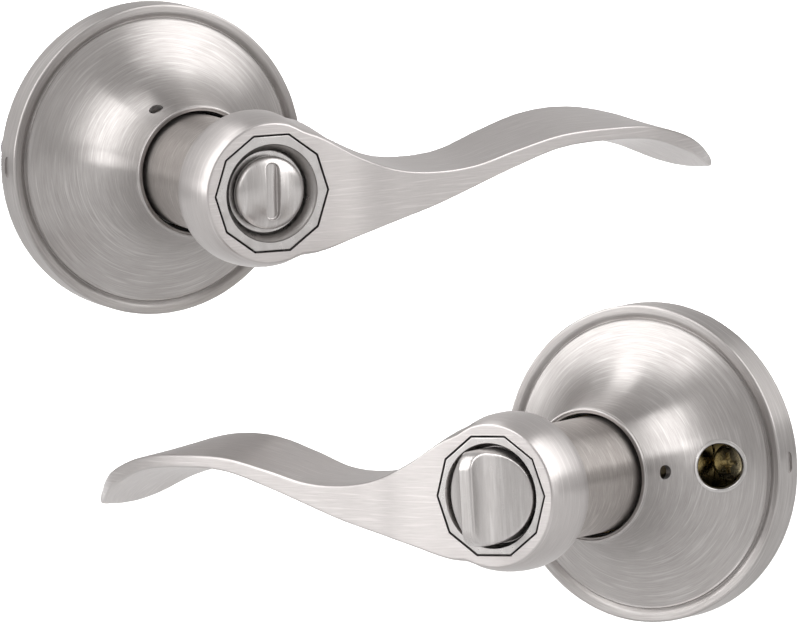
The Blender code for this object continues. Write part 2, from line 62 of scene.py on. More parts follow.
# Plate, screws, posts and rotating chassis
PLATE_THICKNESS = 1.6
PLATE_RADIUS = 31.3
PLATE_BORE = 9.9
PLATE_SEAT_RADIUS = 26.8
PLATE_RELIEF = 0.4
PLATE_SLOT = (3.0, 12.0)
PLATE_SLOT_HEIGHT = 21.0
SCREW_REACH = 19.0
SCREW_HOLE_RADIUS = 2.4
HEAD_RADIUS = 3.9
HEAD_HEIGHT = 2.5
SHANK_RADIUS = 2.0
SHANK_BACK = -19.6
THREAD_DEPTH = 0.42
THREAD_PITCH = 0.7
CROSS_HALVES = ((2.1, 0.45), (0.45, 2.1))
POST_RADIUS = 3.2
POST_NECK_RADIUS = 2.0
POST_BORE = 1.7
POST_BACK = -26.5
RIVET_RADIUS = 3.0
GAP = 0.3
NECK_RADIUS = 12.1
SLEEVE_BORE = 9.7
HUB_FLANGE_RADIUS = 12.0
HUB_BODY_RADIUS = 9.3
HUB_NOSE_RADIUS = 5.4
HUB_BORE = 3.2
HUB_SOCKET = 4.25
SPRING_RADIUS = 11.4
SPRING_WIRE = 0.55
SPRING_TURNS = 2.75
CATCH_DEPTH = 21.1
COIL_ENDS = (6.0, 8.1)
COIL_RADIUS = 1.1
COIL_WIRE = 0.2
COIL_TURNS = 2.5
SPINDLE_HALF = 4.0
SPINDLE_CORNER = 0.5
SPINDLE_BORE = 2.8
SPINDLE_ENDS = (-42.0, 5.4)

# Lever
FACE_FORWARD = 67.8
FACE_RADIUS = 14.8
HUB_BACK = 55.4
HUB_SWELL = 0.7
HUB_BACK_RADIUS = 16.4
# reach, top edge, bottom edge, front face, back face, lift of the back's top edge, lift of its bottom edge
ARM_STATIONS = (
    (2.0, 13.3, -13.5, 67.2, 56.6, 1.0, 0.0),
    (10.0, 11.6, -13.2, 67.4, 54.8, 2.2, -0.3),
    (20.0, 6.4, -10.5, 66.6, 51.4, 2.0, 0.5),
    (30.0, 2.7, -8.1, 64.8, 47.8, 1.4, 1.4),
    (40.0, 1.4, -5.7, 62.4, 43.8, 1.3, 1.3),
    (50.0, 1.8, -2.7, 60.0, 39.8, 1.3, 1.3),
    (60.0, 4.0, 0.4, 57.8, 36.6, 1.9, 1.4),
    (72.0, 6.2, 3.4, 55.0, 33.0, 2.5, 0.6),
    (84.0, 6.5, 3.9, 52.0, 30.0, 2.4, -1.4),
    (96.0, 5.7, 2.9, 48.0, 27.6, 0.6, -3.3),
    (106.0, 2.8, -0.5, 43.0, 27.2, -0.7, -4.0),
    (113.0, -0.9, -3.8, 37.8, 29.0, -1.2, -2.7),
    (116.6, -3.7, -6.0, 34.0, 31.2, -0.2, -0.2),
)

# Insert and buttons
INSERT_RADIUS = 12.64
POCKET_RADIUS = 13.05
INSERT_BACK = 63.2
POCKET_FLOOR = 62.9
LEVER_BORE = 12.4
STEM_BACK = 60.6
STEM_RADIUS = 2.6
RELEASE_RADIUS = 7.7
RELEASE_EDGE = 66.7
RELEASE_DOME = 2.2
COIN_SLOT = (3.0, 12.0)
COIN_SLOT_DEPTH = 2.4
COIN_SLOT_RAISE = 0.4
TURN_FRONT = 77.6
TURN_RADIUS = 9.85
FIN_THICKNESS = 2.8
SCOOP_RADIUS = 11.8

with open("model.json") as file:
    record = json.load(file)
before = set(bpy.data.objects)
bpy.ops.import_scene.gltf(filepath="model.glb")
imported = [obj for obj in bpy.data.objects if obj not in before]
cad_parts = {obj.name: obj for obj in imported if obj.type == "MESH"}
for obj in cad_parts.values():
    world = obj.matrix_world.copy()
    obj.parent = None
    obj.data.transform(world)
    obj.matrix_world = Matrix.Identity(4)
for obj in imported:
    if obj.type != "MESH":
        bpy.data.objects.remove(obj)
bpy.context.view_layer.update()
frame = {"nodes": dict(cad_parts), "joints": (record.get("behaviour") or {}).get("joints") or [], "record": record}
record = frame["record"]


class Half:
    """One half of the set, placed by its lever joint and by its plate's mount, straight above the axis."""

    def __init__(self, name, side, pin_angle):
        self.name = name
        self.side = side
        self.pin_angle = pin_angle
        joint = next(j for j in frame["joints"] if j["name"] == name + "_lever_turn")
        seat = next(m for m in record["mounts"] if m["name"] == name + "_plate_back")
        place = Vector(joint["pos_m"])
        into_door = -Vector(joint["axis"]).normalized()
        up = Vector(seat["pos_m"]) - place
        up = (up - into_door * up.dot(into_door)).normalized()
        across = into_door.cross(up)
        rotation = Matrix((across, into_door, up)).transposed().to_4x4()
        self.matrix = Matrix.Translation(place) @ rotation

    def point(self, reach, forward, height):
        return (self.side * reach * MM, -forward * MM, height * MM)


# --- materials


class Nodes:
    """A small helper for building a material's node tree."""

    def __init__(self, name):
        self.material = bpy.data.materials.new(name)
        self.material.use_nodes = True
        self.tree = self.material.node_tree
        self.shader = self.tree.nodes["Principled BSDF"]

    def add(self, kind, **settings):
        node = self.tree.nodes.new(kind)
        for key, value in settings.items():
            setattr(node, key, value)
        return node

    def link(self, source, target):
        self.tree.links.new(source, target)

    def feed(self, node, values):
        """Gives a node numbers or other nodes' outputs, and returns its first output."""
        for socket, value in zip(node.inputs, values):
            if isinstance(value, (int, float)):
                socket.default_value = value
            elif value is not None:
                self.link(value, socket)
        return node.outputs[0]

    def math(self, operation, a, b=None):
        return self.feed(self.add("ShaderNodeMath", operation=operation), (a, b))

    def times(self, a, b):
        return self.math("MULTIPLY", a, b)

    def vector(self, x, y, z):
        return self.feed(self.add("ShaderNodeCombineXYZ"), (x, y, z))

    def place(self):
        return self.add("ShaderNodeTexCoord").outputs["Object"]

    def parts(self, vector):
        node = self.add("ShaderNodeSeparateXYZ")
        self.link(vector, node.inputs[0])
        return node.outputs

    def noise(self, vector, scale, detail=3.0, roughness=0.6):
        node = self.add("ShaderNodeTexNoise")
        node.inputs["Scale"].default_value = scale
        node.inputs["Detail"].default_value = detail
        node.inputs["Roughness"].default_value = roughness
        self.link(vector, node.inputs["Vector"])
        return node.outputs["Fac"]

    def spread(self, value, low, high):
        """Maps a noise value around one half to a range."""
        node = self.add("ShaderNodeMapRange")
        node.inputs["From Min"].default_value = 0.3
        node.inputs["From Max"].default_value = 0.7
        node.inputs["To Min"].default_value = low
        node.inputs["To Max"].default_value = high
        self.link(value, node.inputs["Value"])
        return node.outputs[0]

    def tint(self, value, dark, light):
        node = self.add("ShaderNodeMix", data_type="RGBA")
        node.inputs["A"].default_value = (*dark, 1.0)
        node.inputs["B"].default_value = (*light, 1.0)
        self.link(value, node.inputs["Factor"])
        self.link(node.outputs["Result"], self.shader.inputs["Base Color"])

    def bump(self, value, distance):
        node = self.add("ShaderNodeBump")
        node.inputs["Distance"].default_value = distance
        node.inputs["Strength"].default_value = 1.0
        self.link(value, node.inputs["Height"])
        self.link(node.outputs["Normal"], self.shader.inputs["Normal"])


# streaks across the grain and breaks along it, in each metre
STREAKS = 1500.0
STREAK_BREAKS = 60.0


def grain_around_axis(nodes):
    """A coordinate whose first part crosses the rings a lathe leaves, and whose others run along them."""
    x, y, z = nodes.parts(nodes.place())
    radius = nodes.math("SQRT", nodes.math("ADD", nodes.times(x, x), nodes.times(z, z)))
    across = nodes.math("ADD", radius, nodes.times(y, 0.8))
    turn_x = nodes.math("DIVIDE", x, radius)
    turn_z = nodes.math("DIVIDE", z, radius)
    return nodes.vector(nodes.times(across, STREAKS), nodes.times(turn_x, 1.6), nodes.times(turn_z, 1.6))


def grain_along_lever(nodes):
    """The lever's own grain map: its first part runs along the arm, and its second across it."""
    u, v, _ = nodes.parts(nodes.add("ShaderNodeUVMap", uv_map="grain").outputs[0])
    return nodes.vector(nodes.times(u, STREAK_BREAKS), nodes.times(v, STREAKS), 0.0)


def grain_upright(nodes):
    """Streaks that run up and down, for a button brushed along its slot."""
    x, y, z = nodes.parts(nodes.place())
    return nodes.vector(nodes.times(x, STREAKS), nodes.times(y, 200.0), nodes.times(z, STREAK_BREAKS))


def brushed(name, dark, light, roughness, grain, anisotropy=0.6, scratch=0.000008):
    """Brushed plated metal: fine streaks and a few deeper scratches, over slow clouding in its colour."""
    nodes = Nodes(name)
    shader = nodes.shader
    shader.inputs["Metallic"].default_value = 1.0
    shader.inputs["Anisotropic"].default_value = anisotropy
    if grain == "around":
        vector = grain_around_axis(nodes)
        tangent = nodes.add("ShaderNodeTangent", direction_type="RADIAL", axis="Y")
        shader.inputs["Anisotropic Rotation"].default_value = 0.25
    elif grain == "upright":
        vector = grain_upright(nodes)
        tangent = nodes.add("ShaderNodeTangent", direction_type="RADIAL", axis="Z")
        shader.inputs["Anisotropic Rotation"].default_value = 0.0
    else:
        vector = grain_along_lever(nodes)
        tangent = nodes.add("ShaderNodeTangent", direction_type="UV_MAP", uv_map="grain")
        shader.inputs["Anisotropic Rotation"].default_value = 0.25
    nodes.link(tangent.outputs[0], shader.inputs["Tangent"])
    streaks = nodes.noise(vector, 3.0, 5.0, 0.65)
    clouds = nodes.noise(nodes.place(), 60.0, 3.0, 0.5)
    mixed = nodes.math("ADD", nodes.times(streaks, 0.75), nodes.times(clouds, 0.25))
    scratches = nodes.noise(vector, 1.3, 1.0, 0.4)
    marks = nodes.math("MAXIMUM", nodes.spread(scratches, -2.2, 1.0), 0.0)
    shade = nodes.math("ADD", nodes.spread(mixed, 0.0, 0.85), nodes.times(marks, 0.5))
    nodes.tint(shade, dark, light)
    nodes.link(nodes.spread(mixed, roughness + 0.06, roughness - 0.05), shader.inputs["Roughness"])
    nodes.bump(nodes.math("ADD", streaks, nodes.times(marks, 0.6)), scratch)
    return nodes.material


def plated(name, dark, light, roughness):
    """Plated or bare steel without a brushed grain: mottled colour, uneven polish and fine pits."""
    nodes = Nodes(name)
    nodes.shader.inputs["Metallic"].default_value = 1.0
    place = nodes.place()
    mottle = nodes.noise(place, 350.0, 4.0, 0.6)
    nodes.tint(nodes.spread(mottle, 0.0, 1.0), dark, light)
    nodes.link(nodes.spread(mottle, roughness + 0.08, roughness - 0.06), nodes.shader.inputs["Roughness"])
    nodes.bump(nodes.noise(place, 2200.0, 2.0, 0.5), 0.00001)
    return nodes.material


def nylon(name):
    """Moulded black nylon with a fine matt speckle."""
    nodes = Nodes(name)
    speckle = nodes.noise(nodes.place(), 1500.0, 3.0, 0.6)
    nodes.tint(nodes.spread(speckle, 0.0, 1.0), (0.006, 0.006, 0.006), (0.018, 0.017, 0.016))
    nodes.link(nodes.spread(speckle, 0.62, 0.5), nodes.shader.inputs["Roughness"])
    nodes.bump(speckle, 0.00002)
    return nodes.material


NICKEL_AROUND = brushed("nickel_turned", (0.315, 0.297, 0.288), (0.47, 0.45, 0.44), 0.33, "around", 0.85)
NICKEL_NECK = brushed("nickel_neck", (0.28, 0.255, 0.24), (0.47, 0.44, 0.42), 0.32, "around", 0.85)
NICKEL_ALONG = brushed("nickel_brushed_along", (0.40, 0.378, 0.37), (0.52, 0.495, 0.485), 0.34, "along", 0.7)
NICKEL_BUTTON = brushed("nickel_button", (0.42, 0.40, 0.39), (0.54, 0.52, 0.51), 0.30, "upright", 0.5,
                        scratch=0.000003)
NICKEL_CAST = plated("nickel_cast", (0.42, 0.405, 0.395), (0.52, 0.505, 0.495), 0.30)
ZINC = plated("bright_zinc", (0.30, 0.31, 0.32), (0.42, 0.43, 0.44), 0.34)
BLACK_STEEL = plated("blackened_steel", (0.012, 0.012, 0.012), (0.03, 0.03, 0.03), 0.42)
YELLOW_ZINC = plated("yellow_zinc", (0.47, 0.41, 0.26), (0.58, 0.505, 0.335), 0.24)
SPRING_STEEL = plated("spring_steel", (0.16, 0.16, 0.17), (0.26, 0.26, 0.27), 0.30)
BLACK_NYLON = nylon("black_nylon_skin")


# --- mesh tools


class Shape:
    """Points and faces in a half's local frame, in metres. From flat_from on, grain goes by place."""

    def __init__(self):
        self.points = []
        self.faces = []
        self.grain = []
        self.flat_from = 0

    def add_ring(self, points):
        start = len(self.points)
        self.points.extend(points)
        return list(range(start, len(self.points)))

    def skin(self, rings, closed_length=False):
        pairs = list(zip(rings, rings[1:]))
        if closed_length:
            pairs.append((rings[-1], rings[0]))
        for first, second in pairs:
            count = max(len(first), len(second))
            for i in range(count):
                j = (i + 1) % count
                corners = (first[i % len(first)], first[j % len(first)],
                           second[j % len(second)], second[i % len(second)])
                unique = list(dict.fromkeys(corners))
                if len(unique) > 2:
                    self.faces.append(unique)


def new_object(name, data):
    """An object in the scene that shows the given data."""
    made = bpy.data.objects.new(name, data)
    bpy.context.scene.collection.objects.link(made)
    return made


def make_object(name, shape, matrix, material, sharp=35.0):
    """A smooth-shaded object from a shape, with its faces pointing out."""
    mesh = bpy.data.meshes.new(name)
    mesh.from_pydata(shape.points, [], shape.faces)
    work = bmesh.new()
    work.from_mesh(mesh)
    if shape.grain:
        layer = work.loops.layers.uv.new("grain")
        for number, face in enumerate(work.faces):
            for loop in face.loops:
                spot = loop.vert.co
                flat = (abs(spot.x), spot.z)
                loop[layer].uv = shape.grain[loop.vert.index] if number < shape.flat_from else flat
    bmesh.ops.remove_doubles(work, verts=work.verts, dist=0.000002)
    bmesh.ops.recalc_face_normals(work, faces=work.faces)
    work.to_mesh(mesh)
    work.free()
    mesh.materials.append(material)
    made = new_object(name, mesh)
    resmooth(made, sharp)
    made.matrix_world = matrix
    return made


def make_skin(half, part, shape, material, sharp=35.0):
    """The visible skin of one of a half's parts."""
    return make_object(half.name + "_" + part + "_skin", shape, half.matrix, material, sharp)


def settle(made, half, body, slot, *nodes):
    """Put a finished piece on its body, in place of its CAD nodes."""
    weighted = made.modifiers.new("weighted", "WEIGHTED_NORMAL")
    weighted.keep_sharp = True
    weighted.weight = 90
    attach(made, body)
    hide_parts(*[half.name + "_" + node for node in nodes])


def keep_result(made):
    """Make what the modifiers give the object's own mesh, with its one material."""
    evaluated = made.evaluated_get(bpy.context.evaluated_depsgraph_get())
    result = bpy.data.meshes.new_from_object(evaluated)
    made.modifiers.clear()
    material = made.data.materials[0]
    made.data = result
    result.materials.clear()
    result.materials.append(material)
    for face in result.polygons:
        face.material_index = 0


def cut(target, tools, operation="DIFFERENCE"):
    """Cut shapes out of an object, or join them to it, and keep the result as its mesh."""
    for tool_shape in tools:
        tool = make_object("tool", tool_shape, target.matrix_world.copy(), target.data.materials[0])
        bpy.context.view_layer.update()
        modifier = target.modifiers.new("cut", "BOOLEAN")
        modifier.solver = "EXACT"
        modifier.operation = operation
        modifier.object = tool
        keep_result(target)
        bpy.data.objects.remove(tool, do_unlink=True)


def resmooth(made, sharp=35.0):
    """Smooth shading that stops at edges sharper than an angle in degrees."""
    made.data.shade_smooth()
    made.data.set_sharp_from_angle(angle=math.radians(sharp))


def soften(made, voxel, passes):
    """Rebuild a piece as one skin of small voxels and relax it, which rounds every edge a little."""
    remesh = made.modifiers.new("remesh", "REMESH")
    remesh.mode = "VOXEL"
    remesh.voxel_size = voxel * MM
    relax = made.modifiers.new("relax", "SMOOTH")
    relax.factor = 0.5
    relax.iterations = passes
    keep_result(made)
    made.data.shade_smooth()


def bezier(start, bend_a, bend_b, end, steps):
    """Points along a flat curve that leaves towards its first bend and arrives from its second."""
    points = []
    guides = (start, bend_a, bend_b, end)
    for i in range(steps + 1):
        t = i / steps
        weights = ((1 - t) ** 3, 3 * t * (1 - t) ** 2, 3 * t * t * (1 - t), t ** 3)
        points.append(tuple(sum(w * p[k] for w, p in zip(weights, guides)) for k in (0, 1)))
    return points


def corner_arc(start, corner, end, steps):
    """Points on a smooth arc that is drawn towards a corner."""
    shares = [k / steps for k in range(steps + 1)]
    return [(1 - t) ** 2 * start + 2 * t * (1 - t) * corner + t * t * end for t in shares]


def rounded(profile, corner=0.25, steps=4):
    """A closed profile with its corners rounded. A point may give its own corner size as a third value."""
    points = []
    count = len(profile)
    for i, spot in enumerate(profile):
        here = Vector(spot[:2])
        before = Vector(profile[i - 1][:2])
        after = Vector(profile[(i + 1) % count][:2])
        size = spot[2] if len(spot) > 2 else corner
        if size == 0 or here[0] == 0:
            points.append(tuple(here))
            continue
        room = 0.45 * min((before - here).length, (after - here).length)
        size = min(size, room)
        start = here + (before - here).normalized() * size
        end = here + (after - here).normalized() * size
        points.extend(tuple(spot) for spot in corner_arc(start, here, end, steps))
    return points


def turned(half, profile, segments=128, centre=(0.0, 0.0), phase=0.0):
    """A closed profile of (radius, forward) turned about the spindle axis or a line beside it."""
    shape = Shape()
    rings = []
    for radius, forward in profile:
        count = segments if radius > 0 else 1
        ring = []
        for i in range(count):
            angle = phase + 2 * math.pi * i / segments
            reach = centre[0] + radius * math.cos(angle)
            height = centre[1] + radius * math.sin(angle)
            ring.append(half.point(reach, forward, height))
        rings.append(shape.add_ring(ring))
    shape.skin(rings, closed_length=profile[0][0] > 0)
    return shape


def outline_block(half, outline, forward):
    """A flat outline of (reach, height) points, extruded between two depths."""
    shape = Shape()
    rings = [shape.add_ring([half.point(x, depth, z) for x, z in outline]) for depth in forward]
    shape.skin(rings)
    shape.faces.extend(rings)
    return shape


def block(half, reach, forward, height):
    """A box between two reaches, two depths and two heights, used for cuts."""
    outline = ((reach[0], height[0]), (reach[1], height[0]), (reach[1], height[1]), (reach[0], height[1]))
    return outline_block(half, outline, forward)


def slot_outline(wide, tall, steps=10):
    """An upright slot with round ends."""
    radius = wide / 2
    middle = tall / 2 - radius
    top = []
    for i in range(steps + 1):
        angle = math.pi * i / steps
        top.append((radius * math.cos(angle), middle + radius * math.sin(angle)))
    return top + [(-x, -z) for x, z in top]


def rod(points, radius, sides=12):
    """A round bar along local points in metres."""
    shape = Shape()
    rings = []
    side_way = None
    for i, point in enumerate(points):
        ahead = (points[min(i + 1, len(points) - 1)] - points[max(i - 1, 0)]).normalized()
        if side_way is None:
            side_way = ahead.orthogonal()
        side_way = (side_way - ahead * side_way.dot(ahead)).normalized()
        other_way = ahead.cross(side_way)
        ring = []
        for k in range(sides):
            angle = 2 * math.pi * k / sides
            ring.append(tuple(point + radius * (math.cos(angle) * side_way + math.sin(angle) * other_way)))
        rings.append(shape.add_ring(ring))
    shape.skin(rings)
    shape.faces.append(rings[0])
    shape.faces.append(rings[-1])
    return shape


# --- roses


def flare_curve(steps):
    """The outside of the rose from the groove up to the collar, as (radius, forward) points."""
    foot = (GROOVE_RADIUS - 0.45, RIM_DEPTH - 0.35)
    neck = (COLLAR_RADIUS, COLLAR_FRONT - 0.8)
    return bezier(foot, FLARE_BEND_FOOT, FLARE_BEND_TOP, neck, steps)


def rose_profile():
    """From the rim over the bead, groove and flare to the rolled lip, then down the inside."""
    rim = rounded([
        (ROSE_RADIUS, 0.0, 0.0),
        (ROSE_RADIUS, RIM_DEPTH, 0.55),
        (ROSE_RADIUS - 1.9, RIM_DEPTH - 0.05, 0.9),
        (GROOVE_RADIUS, RIM_DEPTH - 0.75, 0.12),
        (GROOVE_RADIUS - 0.3, RIM_DEPTH - 0.3, 0.0),
    ], steps=6)
    flare = flare_curve(70)
    lip = rounded([
        (COLLAR_RADIUS, COLLAR_FRONT - 0.8, 0.0),
        (COLLAR_RADIUS - 0.12, COLLAR_FRONT - 0.72, 0.05),
        (COLLAR_RADIUS - 0.02, COLLAR_FRONT - 0.5, 0.12),
        (COLLAR_RADIUS - 0.1, COLLAR_FRONT, 0.3),
        (COLLAR_BORE + 0.5, COLLAR_FRONT, 0.15),
        (COLLAR_BORE + 0.45, COLLAR_FRONT - 0.25, 0.06),
        (COLLAR_BORE, COLLAR_FRONT - 0.3, 0.15),
        (COLLAR_BORE, COLLAR_FRONT - 0.9, 0.0),
    ], steps=5)
    inner_neck = (COLLAR_BORE, COLLAR_FRONT - 1.8)
    inner_foot = (GROOVE_RADIUS - 1.0, RIM_DEPTH - 1.8)
    bend_top = (FLARE_BEND_TOP[0] - 1.1, FLARE_BEND_TOP[1] - 0.8)
    bend_foot = (FLARE_BEND_FOOT[0] - 0.9, FLARE_BEND_FOOT[1] - 1.4)
    inner = bezier(inner_neck, bend_top, bend_foot, inner_foot, 30)
    inner_rim = [(ROSE_RADIUS - 1.2, RIM_DEPTH - 1.8), (ROSE_RADIUS - 1.2, 0.0)]
    return rim + flare + lip + inner + inner_rim


def leaning_frame(half, angle, spot, lean_deg):
    """A centre on the flare, and the ways out of it, round it and up its slope, in millimetres."""
    spoke = Vector(half.point(math.cos(angle), 0, math.sin(angle))) / MM
    around = Vector(half.point(-math.sin(angle), 0, math.cos(angle))) / MM
    front = Vector((0, -1, 0))
    lean = math.radians(lean_deg)
    out = spoke * math.cos(lean) + front * math.sin(lean)
    slope = front * math.cos(lean) - spoke * math.sin(lean)
    return spoke * spot[0] + front * spot[1], out, around, slope


def leaning_punch(half, angle, spot, lean_deg, outline, depth):
    """A punch through the flare along its lean, with an outline of (round, up the slope) points."""
    centre, out, around, slope = leaning_frame(half, angle, spot, lean_deg)
    shape = Shape()
    rings = []
    for distance in depth:
        level = centre + out * distance
        rings.append(shape.add_ring([tuple((level + around * x + slope * y) * MM) for x, y in outline]))
    shape.skin(rings)
    shape.faces.extend(rings)
    return shape


def circle(radius, steps=64, phase=0.03):
    """Points round a circle, started a little off its axis so that cuts never meet other corners exactly."""
    angles = [phase + 2 * math.pi * i / steps for i in range(steps)]
    return [(radius * math.cos(angle), radius * math.sin(angle)) for angle in angles]


FLARE_TABLE = flare_curve(240)


def flare_forward(radius):
    """How far in front of the door the flare is at a radius."""
    for (outer, low), (inner, high) in zip(FLARE_TABLE, FLARE_TABLE[1:]):
        if inner <= radius <= outer:
            return low + (high - low) * (outer - radius) / max(outer - inner, 0.000001)
    return RIM_DEPTH


def drop_on_flare(spot, out):
    """Slide a point along a line until it lies on the flare."""
    low, high = -4.0, 4.0
    for _ in range(30):
        middle = (low + high) / 2
        place = spot + out * middle
        if -place.y > flare_forward(math.hypot(place.x, place.z)):
            high = middle
        else:
            low = middle
    return spot + out * low


def access_lip(half, angle):
    """A drawn edge that follows the flare round a screw access hole and turns in through it."""
    centre, out, around, slope = leaning_frame(half, angle, ACCESS_HOLE, ACCESS_HOLE_LEAN_DEG)
    hole = ACCESS_HOLE_RADIUS
    profile = rounded([(hole + 0.75, -0.25, 0.0), (hole + 0.6, 0.16, 0.15), (hole - 0.15, 0.1, 0.35),
                       (hole - 0.35, -1.1, 0.1), (hole + 0.1, -1.2, 0.1), (hole + 0.12, -0.6, 0.1)], steps=5)
    shape = Shape()
    rings = []
    for radius, rise in profile:
        ring = []
        for x, y in circle(radius, 96):
            place = drop_on_flare(centre + around * x + slope * y, out)
            ring.append(tuple((place + out * rise) * MM))
        rings.append(shape.add_ring(ring))
    shape.skin(rings, closed_length=True)
    return shape


def make_rose(half, access_holes):
    """The spun rose with its pin hole and rim notch, and the screw access holes with their drawn edges."""
    rose = make_skin(half, "rose", turned(half, rose_profile(), 256), NICKEL_AROUND)
    pin_outline = slot_outline(*PIN_HOLE_SIZE)
    pin_punch = leaning_punch(half, half.pin_angle, PIN_HOLE, PIN_HOLE_LEAN_DEG, pin_outline, PIN_PUNCH)
    tools = [pin_punch, notch_punch(half)]
    angles = (0.0, math.pi) if access_holes else ()
    ring = circle(ACCESS_HOLE_RADIUS)
    for angle in angles:
        tools.append(leaning_punch(half, angle, ACCESS_HOLE, ACCESS_HOLE_LEAN_DEG, ring, ACCESS_PUNCH))
    cut(rose, tools)
    resmooth(rose, 40)
    settle(rose, half, "mounting", "satin_nickel", "rose")
    for number, angle in enumerate(angles):
        name = half.name + "_access_lip_" + str(number + 1)
        lip = make_object(name, access_lip(half, angle), half.matrix, NICKEL_CAST)
        settle(lip, half, "mounting", "satin_nickel")


def notch_punch(half):
    """A shallow upright slot with round ends, stamped in the rim opposite the lever."""
    shape = Shape()
    outline = slot_outline(*NOTCH_SIZE)
    rings = []
    for reach in (-ROSE_RADIUS - 2, -ROSE_RADIUS + NOTCH_DEPTH):
        rings.append(shape.add_ring([half.point(reach, NOTCH_FORWARD + x, z) for x, z in outline]))
    shape.skin(rings)
    shape.faces.extend(rings)
    return shape


# --- levers


def arm_at(reach):
    """A station's values at any reach, on a smooth curve through the stations."""
    stations = ARM_STATIONS
    reach = min(max(reach, stations[0][0]), stations[-1][0])
    k = max(n for n in range(len(stations) - 1) if stations[n][0] <= reach)
    left, right = stations[k], stations[k + 1]
    before, after = stations[max(k - 1, 0)], stations[min(k + 2, len(stations) - 1)]
    width = right[0] - left[0]
    t = (reach - left[0]) / width
    row = []
    for c in range(1, len(left)):
        slope_in = (right[c] - before[c]) / (right[0] - before[0]) * width
        slope_out = (after[c] - left[c]) / (after[0] - left[0]) * width
        row.append((2 * t ** 3 - 3 * t * t + 1) * left[c] + (t ** 3 - 2 * t * t + t) * slope_in
                   + (3 * t * t - 2 * t ** 3) * right[c] + (t ** 3 - t * t) * slope_out)
    return row


def ease(value, low, high):
    """Rises smoothly from 0 to 1 between two values."""
    t = min(max((value - low) / (high - low), 0.0), 1.0)
    return t * t * (3 - 2 * t)


ARM_START = 4.0
ARM_END = 116.8
END_ROUND = 9.0
ARC_STEPS = 56
ARM_STEPS = 110
WALL_STEPS = 14
ROUND_STEPS = 5
STRIPS_ACROSS = 14
FRONT_ROUND = 0.45
BACK_ROUND = 1.2
TIP_ROUND = 1.2


def lever_rail():
    """The face outline from the tip along the top, round the hub and back along the bottom.

    Each entry gives the front edge, the back edge, the inward way across the face, and the wall's swell.
    """
    top_side = []
    bottom_side = []
    for i in range(ARM_STEPS + 1):
        share = i / ARM_STEPS
        reach = ARM_END - (ARM_END - ARM_START) * (1 - math.cos(math.pi / 2 * share))
        top, bottom, front, back, lift_top, lift_bottom = arm_at(reach)
        if reach < FACE_RADIUS:
            early = ease(reach, ARM_START, 10.0)
            edge = math.sqrt(FACE_RADIUS ** 2 - reach ** 2)
            lift = math.sqrt(HUB_BACK_RADIUS ** 2 - reach ** 2) - edge
            top = edge * (1 - early) + top * early
            bottom = -edge * (1 - early) + bottom * early
            lift_top = lift * (1 - early) + lift_top * early
            lift_bottom = -lift * (1 - early) + lift_bottom * early
        flat = ease(reach, 8.0, 30.0)
        front = FACE_FORWARD * (1 - flat) + front * flat
        blend = ease(reach, ARM_START, 20.0)
        back = HUB_BACK * (1 - blend) + back * blend
        past = max(reach - (ARM_END - END_ROUND), 0.0) / END_ROUND
        squeeze = math.sqrt(max(1 - past * past, 0.012))
        middle = (front + back) / 2
        front = middle + (front - middle) * squeeze
        back = middle + (back - middle) * squeeze
        top += lift_top * (1 - squeeze) / 2
        bottom += lift_bottom * (1 - squeeze) / 2
        lift_top *= squeeze
        lift_bottom *= squeeze
        thin = 1 - math.sqrt(max(1 - (max(reach - (ARM_END - TIP_ROUND), 0.0) / TIP_ROUND) ** 2, 0.03))
        top -= (top - bottom) / 2 * thin
        bottom += (top - bottom) / 2 * thin
        swell = HUB_SWELL * (1 - ease(reach, ARM_START, 18.0))
        top_side.append(((reach, front, top), (reach, back, top + lift_top), (0, -1), swell))
        bottom_side.append(((reach, front, bottom), (reach, back, bottom + lift_bottom), (0, 1), swell))
    entries = list(top_side)
    start_angle = math.acos(ARM_START / FACE_RADIUS)
    for i in range(1, ARC_STEPS):
        angle = start_angle + (2 * math.pi - 2 * start_angle) * i / ARC_STEPS
        way = (math.cos(angle), math.sin(angle))
        front = (FACE_RADIUS * way[0], FACE_FORWARD, FACE_RADIUS * way[1])
        back = (HUB_BACK_RADIUS * way[0], HUB_BACK, HUB_BACK_RADIUS * way[1])
        entries.append((front, back, (-way[0], -way[1]), HUB_SWELL))
    entries.extend(reversed(bottom_side))
    return entries


def wall_ring(entry):
    """Points from the face, over the front edge, along the wall and over the back edge."""
    front, back, inward, swell = entry
    inward = Vector((inward[0], 0.0, inward[1]))
    front = Vector(front)
    back = Vector(back)
    along = back - front
    length = along.length
    reach = front[0]
    top, bottom = arm_at(reach)[:2]
    thickness = 2 * FACE_RADIUS if reach < 8 else max(top - bottom, 1.0)
    front_round = min(FRONT_ROUND, thickness * 0.3, length * 0.2)
    back_round = min(BACK_ROUND, thickness * 0.42, length * 0.3)
    first = front + along * (front_round / length)
    points = corner_arc(front + inward * front_round, front, first, ROUND_STEPS)
    for k in range(1, WALL_STEPS):
        t = front_round / length + (1 - (front_round + back_round) / length) * k / WALL_STEPS
        bulge = swell * math.sin(math.pi * t ** 0.8)
        points.append(front + along * t - inward * bulge)
    last = front + along * (1 - back_round / length)
    return points + corner_arc(last, back, back + inward * back_round, ROUND_STEPS)


